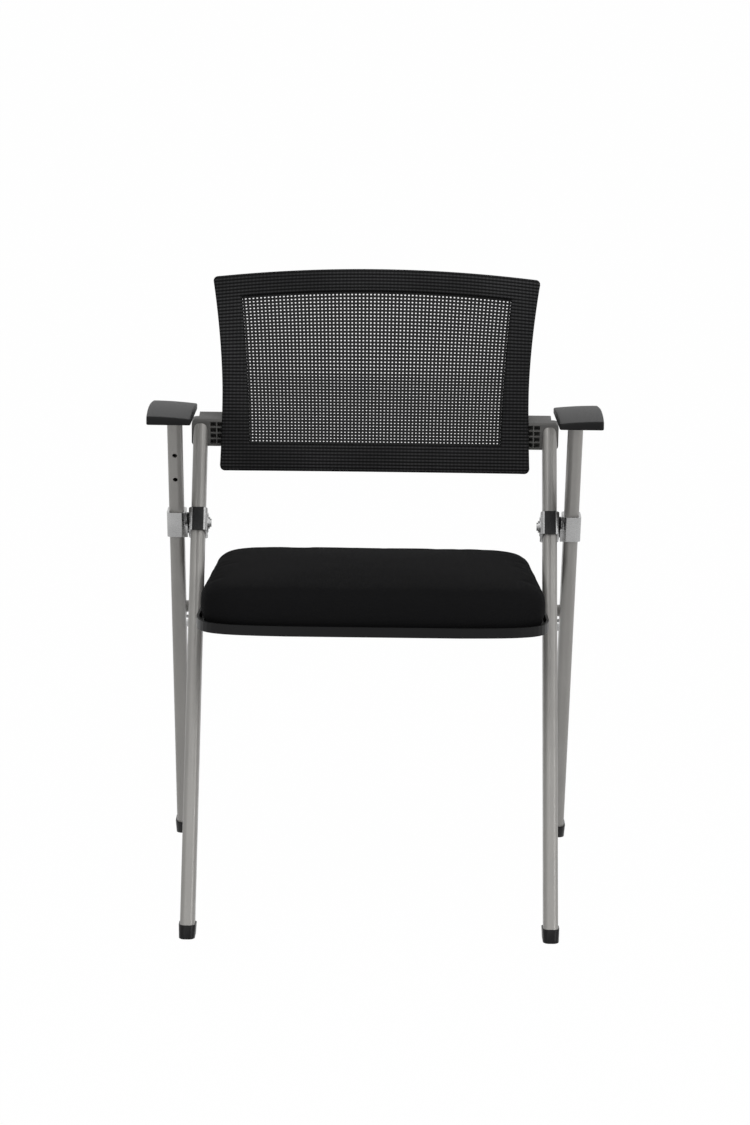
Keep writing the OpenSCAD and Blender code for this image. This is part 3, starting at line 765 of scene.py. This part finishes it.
@dataclass
class ArmPads:
    """Moulded pads on the heads of the posts.

    Attributes:
        head: middle of the left post's head.
        slope: fall of the pad to the back, in degrees.
        length: length of the pad.
        thick: thickness at its middle.
        ahead: how far it reaches ahead of the head.
        inner: inner edge at the front and at the rear, from the head's middle.
        outer: outer edge at the front and at the rear.
        belly: how far the outer edge swells in between.
        sag: how far both ends fall from the middle.
        roll: fall of the upper face towards the sitter, per unit of width.
        plate: height of the plate under the pad.
        crown: how far the upper face falls at its side edges.
        pad_grid: faces across and along.
        outer_corner: radius of the outer rear corner.
        inner_corner: radius of the inner rear corner.
        front_corner: radius of the front corners.
        rim: radius of the rims.
    """

    head: tuple[float, float, float] = (263.5 * MM, -24.91 * MM, 640.33 * MM)
    slope: float = 5.0
    length: float = 236 * MM
    thick: float = 14.5 * MM
    ahead: float = 134 * MM
    inner: tuple[float, float] = (-27.5 * MM, -25 * MM)
    outer: tuple[float, float] = (29 * MM, 33 * MM)
    belly: float = 1.5 * MM
    sag: float = 4.5 * MM
    roll: float = 0.06
    plate: float = 3 * MM
    crown: float = 0.8 * MM
    pad_grid: tuple[int, int] = (10, 30)
    outer_corner: float = 12 * MM
    inner_corner: float = 5 * MM
    front_corner: float = 3 * MM
    rim: float = 1.6 * MM

    def edges(self, share: float) -> tuple[float, float]:
        """Inner and outer edge of the pad, from its front at 0 to its rear at 1."""
        inner, outer = (a + (b - a) * share for a, b in (self.inner, self.outer))
        return inner, outer + self.belly * 4 * share * (1 - share)

    def surface(self, u: float, v: float) -> tuple[float, float, float]:
        """Place on the upper face for values of -1 to 1 across and along."""
        share = (v + 1) / 2
        inner, outer = self.edges(share)
        x = inner + (u + 1) / 2 * (outer - inner)
        lift = self.roll * x - self.crown * u * u - self.sag * v * v
        return x, -self.ahead + share * self.length, self.plate + self.thick + lift

    def round_corners(self, bm: bmesh.types.BMesh) -> None:
        """Round the upright edges at the pad's corners, most at the outer rear."""
        corners = [e for e in bm.edges if turned(e, 50)
                   and abs(e.verts[0].co.z - e.verts[1].co.z) > self.thick / 2]
        front = [e for e in corners if e.verts[0].co.y < 0]
        rear = [e for e in corners if e.verts[0].co.y > 0]
        outside = [e for e in rear if e.verts[0].co.x > 0]
        inside = [e for e in rear if e.verts[0].co.x < 0]
        Maker.rounded(bm, outside, self.outer_corner, 6)
        Maker.rounded(bm, inside, self.inner_corner, 4)
        Maker.rounded(bm, front, self.front_corner, 3)

    def pad(self, side: int) -> None:
        """Make one pad.

        Args:
            side: 1 for the sitter's left, -1 for the right.
        """
        name = "left" if side > 0 else "right"
        bm = bmesh.new()
        across, along = self.pad_grid
        bmesh.ops.create_grid(bm, x_segments=across, y_segments=along, size=1)
        for vert in bm.verts:
            vert.co = self.surface(vert.co.x, vert.co.y)
        for vert in Maker.thickened(bm):
            vert.co.z = self.plate
        bm.normal_update()
        self.round_corners(bm)
        rims = [e for e in bm.edges if turned(e, 55)
                and abs(e.verts[0].co.z - e.verts[1].co.z) < 2 * MM]
        Maker.rounded(bm, rims, self.rim, 3)
        bmesh.ops.dissolve_degenerate(bm, dist=SLIVER, edges=bm.edges)
        turn = Matrix.Rotation(math.radians(-self.slope), 4, "X")
        bmesh.ops.transform(bm, matrix=Matrix.Translation(self.head) @ turn, verts=bm.verts)
        if side < 0:
            bmesh.ops.scale(bm, vec=(-1, 1, 1), verts=bm.verts)
        Maker.piece(f"arm_pad_skin_{name}", bm, Finishes.PAD, Body.REAR, [f"arm_pad_{name}"], 60)

    def build(self) -> None:
        """Make both pads and dress their plates and screws."""
        for side in (1, -1):
            self.pad(side)
        Maker.dress(["arm_plate_left", "arm_plate_right"], Finishes.ENAMEL)
        Maker.dress(["arm_screws"], Finishes.DARK_STEEL)


@dataclass
class Cushion:
    """Upholstered seat, swollen from the space that it fills.

    Attributes:
        voxel: size of the even mesh that the cover is made of.
        calm_rounds: how often that mesh is smoothed.
        spare: how far the cover is drawn in before it swells.
        swell: how far it may swell.
        pressure: pressure inside, in the units of the cloth solver.
        frames: frames that it swells for.
        held_h: height of the part that stays flat on the pan.
        free_run: height over which it gets free.
        side_limit: half of the width between the front legs.
        front_limit: half of the width ahead of the legs.
        legs_reach: depth where the room beside the legs ends.
        flare_run: depth over which the width grows ahead of it.
    """

    voxel: float = 5 * MM
    calm_rounds: int = 3
    spare: float = 1.2 * MM
    swell: float = 4 * MM
    pressure: float = 4.0
    frames: int = 20
    held_h: float = 10 * MM
    free_run: float = 14 * MM
    side_limit: float = 222.5 * MM
    front_limit: float = 230.5 * MM
    legs_reach: float = -84 * MM
    flare_run: float = 60 * MM

    def build(self) -> None:
        """Make the cushion and dress the pan and what holds it."""
        shape = Maker.node_mesh("seat_cushion")
        obj = Maker.piece("seat_upholstery", shape, Finishes.CLOTH, Body.SEAT,
                          ["seat_cushion"], 180)
        remesh = obj.modifiers.new("even", "REMESH")
        remesh.mode = "VOXEL"
        remesh.voxel_size = self.voxel
        calm = obj.modifiers.new("calm", "SMOOTH")
        calm.factor = 0.5
        calm.iterations = self.calm_rounds
        self.fix(obj)
        self.plump(obj)
        finer = obj.modifiers.new("finer", "SUBSURF")
        finer.levels = finer.render_levels = 1
        obj.data.shade_smooth()
        Maker.dress(["seat_pan", "seat_washer_left", "seat_washer_right"], Finishes.PLASTIC)
        Maker.dress(["seat_bracket_left", "seat_bracket_right"], Finishes.ENAMEL)
        Maker.dress(["seat_rest_left", "seat_rest_right"], Finishes.RUBBER)
        Maker.dress(["seat_screws"], Finishes.DARK_STEEL)

    @staticmethod
    def fix(obj: bpy.types.Object) -> None:
        """Apply an object's modifiers to its mesh."""
        graph = bpy.context.evaluated_depsgraph_get()
        made = bpy.data.meshes.new_from_object(obj.evaluated_get(graph))
        obj.modifiers.clear()
        old, obj.data = obj.data, made
        bpy.data.meshes.remove(old)

    def inflate(self, obj: bpy.types.Object) -> None:
        """Run the cloth under pressure and keep the shape of its last frame."""
        cloth = obj.modifiers.new("swell", "CLOTH")
        cloth.settings.use_pressure = True
        cloth.settings.uniform_pressure_force = self.pressure
        cloth.settings.effector_weights.gravity = 0
        cloth.settings.quality = 4
        cloth.point_cache.frame_start = 1
        cloth.point_cache.frame_end = self.frames
        for step in range(1, self.frames + 1):
            bpy.context.scene.frame_set(step)
        self.fix(obj)

    def plump(self, obj: bpy.types.Object) -> None:
        """Swell the cover under pressure and keep it within its limits."""
        for vert, away in [(v, v.normal.copy()) for v in obj.data.vertices]:
            vert.co -= away * self.spare
        start = [v.co.copy() for v in obj.data.vertices]
        low = min(p.z for p in start)
        self.inflate(obj)
        for vert, before in zip(obj.data.vertices, start):
            step = vert.co - before
            if step.length > self.swell:
                step *= self.swell / step.length
            vert.co = before + step * clipped((before.z - low - self.held_h) / self.free_run)
            ahead = clipped((self.legs_reach - vert.co.y) / self.flare_run)
            limit = self.side_limit + ahead * (self.front_limit - self.side_limit)
            over = abs(vert.co.x) - limit
            if over > 0:
                vert.co.x -= math.copysign(over, vert.co.x)
        bpy.context.scene.frame_set(1)


@dataclass
class Legs:
    """Crossed tubes with their feet, collars, bolts and back brackets.

    Attributes:
        along: direction of the front legs, upwards.
        foot_depth: height to which the front of their lower end is run down.
        end_band: how near to the tube's end a point counts as its end.
        bracket_ease: width of the eased edges of the back brackets.
        inner_ease: the same for the inner collars.
        outer_ease: the same for the outer collars.
        foot_ease: the same for the feet.
    """

    along: tuple[float, float, float] = (0.0, 0.49574, 0.86847)
    foot_depth: float = 13.5 * MM
    end_band: float = 0.5 * MM
    bracket_ease: float = 0.8 * MM
    inner_ease: float = 0.35 * MM
    outer_ease: float = 0.5 * MM
    foot_ease: float = 0.6 * MM

    def front_tube(self, side: str) -> None:
        """Copy a front leg with the front of its lower end run down into the foot.

        Args:
            side: "left" or "right".
        """
        bm = Maker.node_mesh(f"front_leg_{side}")
        axis = Vector(self.along).normalized()
        end = min(v.co.dot(axis) for v in bm.verts)
        for vert in bm.verts:
            if vert.co.dot(axis) < end + self.end_band and vert.co.z > self.foot_depth:
                vert.co -= axis * ((vert.co.z - self.foot_depth) / axis.z)
        Maker.piece(f"front_tube_{side}", bm, Finishes.ENAMEL, Body.FRONT,
                    [f"front_leg_{side}"], 30)

    def build(self) -> None:
        """Make the front tubes, ease what they carry, and dress the rest."""
        for side in ("left", "right"):
            self.front_tube(side)
            Maker.eased(f"back_bracket_{side}", f"bracket_{side}", Finishes.CAST, Body.FRONT,
                        self.bracket_ease)
            Maker.eased(f"front_collar_{side}", f"inner_collar_{side}", Finishes.BRIGHT,
                        Body.FRONT, self.inner_ease)
            Maker.eased(f"rear_collar_{side}", f"outer_collar_{side}", Finishes.BRIGHT,
                        Body.REAR, self.outer_ease)
            Maker.eased(f"front_foot_{side}", f"front_cap_{side}", Finishes.RUBBER, Body.FRONT,
                        self.foot_ease, 40)
            Maker.eased(f"rear_foot_{side}", f"rear_cap_{side}", Finishes.RUBBER, Body.REAR,
                        self.foot_ease, 40)
            Maker.dress([f"rear_leg_{side}"], Finishes.ENAMEL)
            Maker.dress([f"collar_insert_{side}"], Finishes.GLOSS)
            Maker.dress([f"pivot_bolt_{side}", f"pivot_nut_{side}", f"seat_bolt_{side}"],
                        Finishes.BRIGHT)
            Maker.dress([f"pivot_washer_{side}"], Finishes.PLASTIC)
        Maker.dress(["front_cross_tube", "rear_cross_tube"], Finishes.ENAMEL)


@dataclass
class Studio:
    """Pale floor, soft lamps and the camera.

    Attributes:
        eye: place of the camera, in metres.
        pitch: how far the camera looks down, in degrees.
        roll: how far it is rolled, in degrees.
        lens: focal length in millimetres, for a frame 36 mm high.
        aim: place that the lamps look at.
        paint: lightness of the floor where lamps light it.
        glow_share: how far the floor shows white to the camera and to mirrors.
        air: strength of the even light from all round.
    """

    eye: tuple[float, float, float] = (0.002, -4.874, 1.520)
    pitch: float = 12.45
    roll: float = 0.7
    lens: float = 120.0
    aim: tuple[float, float, float] = (0, 0, 0.45)
    paint: float = 0.82
    glow_share: float = 0.99
    air: float = 0.42

    def camera(self) -> None:
        """Set the camera at the photograph's place."""
        data = bpy.data.cameras.new("camera")
        data.lens = self.lens
        data.sensor_width = 36.0
        data.clip_start, data.clip_end = 0.1, 60.0
        obj = bpy.data.objects.new("camera", data)
        bpy.context.scene.collection.objects.link(obj)
        tilt = Matrix.Rotation(math.radians(90 - self.pitch), 4, "X")
        roll = Matrix.Rotation(math.radians(self.roll), 4, "Z")
        obj.matrix_world = Matrix.Translation(self.eye) @ (tilt @ roll)
        bpy.context.scene.camera = obj

    def floor(self) -> None:
        """A wide pale floor that reads as white and keeps a faint shadow."""
        bm = bmesh.new()
        bmesh.ops.create_grid(bm, x_segments=2, y_segments=2, size=40)
        obj = Maker.added("studio_floor", bm)
        white = bpy.data.materials.new("studio_white")
        bench = NodeBench(white)
        matt = bench.add("ShaderNodeBsdfDiffuse")
        matt.inputs["Color"].default_value = (self.paint, self.paint, self.paint, 1)
        glow = bench.add("ShaderNodeEmission")
        glow.inputs["Color"].default_value = (1, 1, 1, 1)
        mix = bench.add("ShaderNodeMixShader")
        bench.wire(bench.calc("MULTIPLY", bench.seen(), self.glow_share), mix.inputs[0])
        bench.wire(matt.outputs[0], mix.inputs[1])
        bench.wire(glow.outputs[0], mix.inputs[2])
        out = bench.add("ShaderNodeOutputMaterial")
        bench.wire(mix.outputs[0], out.inputs["Surface"])
        obj.data.materials.append(white)

    def sky(self) -> None:
        """Even light from all round, seen as white."""
        world = bpy.data.worlds.new("studio_air")
        bench = NodeBench(world)
        mix = bench.add("ShaderNodeMixShader")
        bench.wire(bench.seen(), mix.inputs[0])
        for slot, strength in ((1, self.air), (2, 1.0)):
            light = bench.add("ShaderNodeBackground")
            light.inputs["Color"].default_value = (1, 1, 1, 1)
            light.inputs["Strength"].default_value = strength
            bench.wire(light.outputs[0], mix.inputs[slot])
        out = bench.add("ShaderNodeOutputWorld")
        bench.wire(mix.outputs[0], out.inputs["Surface"])
        bpy.context.scene.world = world

    def lamp(self, name: str, place: tuple[float, float, float], size: float,
             power: float) -> None:
        """A square soft lamp that looks at the chair."""
        data = bpy.data.lights.new(name, "AREA")
        data.shape = "SQUARE"
        data.size = size
        data.energy = power
        obj = bpy.data.objects.new(name, data)
        bpy.context.scene.collection.objects.link(obj)
        obj.location = place
        toward = Vector(self.aim) - Vector(place)
        obj.rotation_euler = toward.to_track_quat("-Z", "Y").to_euler()

    def build(self) -> None:
        """Set up the whole studio."""
        self.camera()
        self.floor()
        self.sky()
        self.lamp("lamp_above", (0.0, -1.4, 3.2), 2.4, 32)
        self.lamp("lamp_left", (-1.3, -3.3, 1.7), 1.6, 15)
        self.lamp("lamp_right", (2.9, -2.2, 1.7), 1.6, 38)
        bpy.context.scene.view_settings.view_transform = "Standard"


def main() -> None:
    """Build the chair, piece by piece, and the studio round it."""
    Studio().build()
    Legs().build()
    BackRest().build()
    ArmPads().build()
    Cushion().build()


if __name__ == "__main__":
    main()
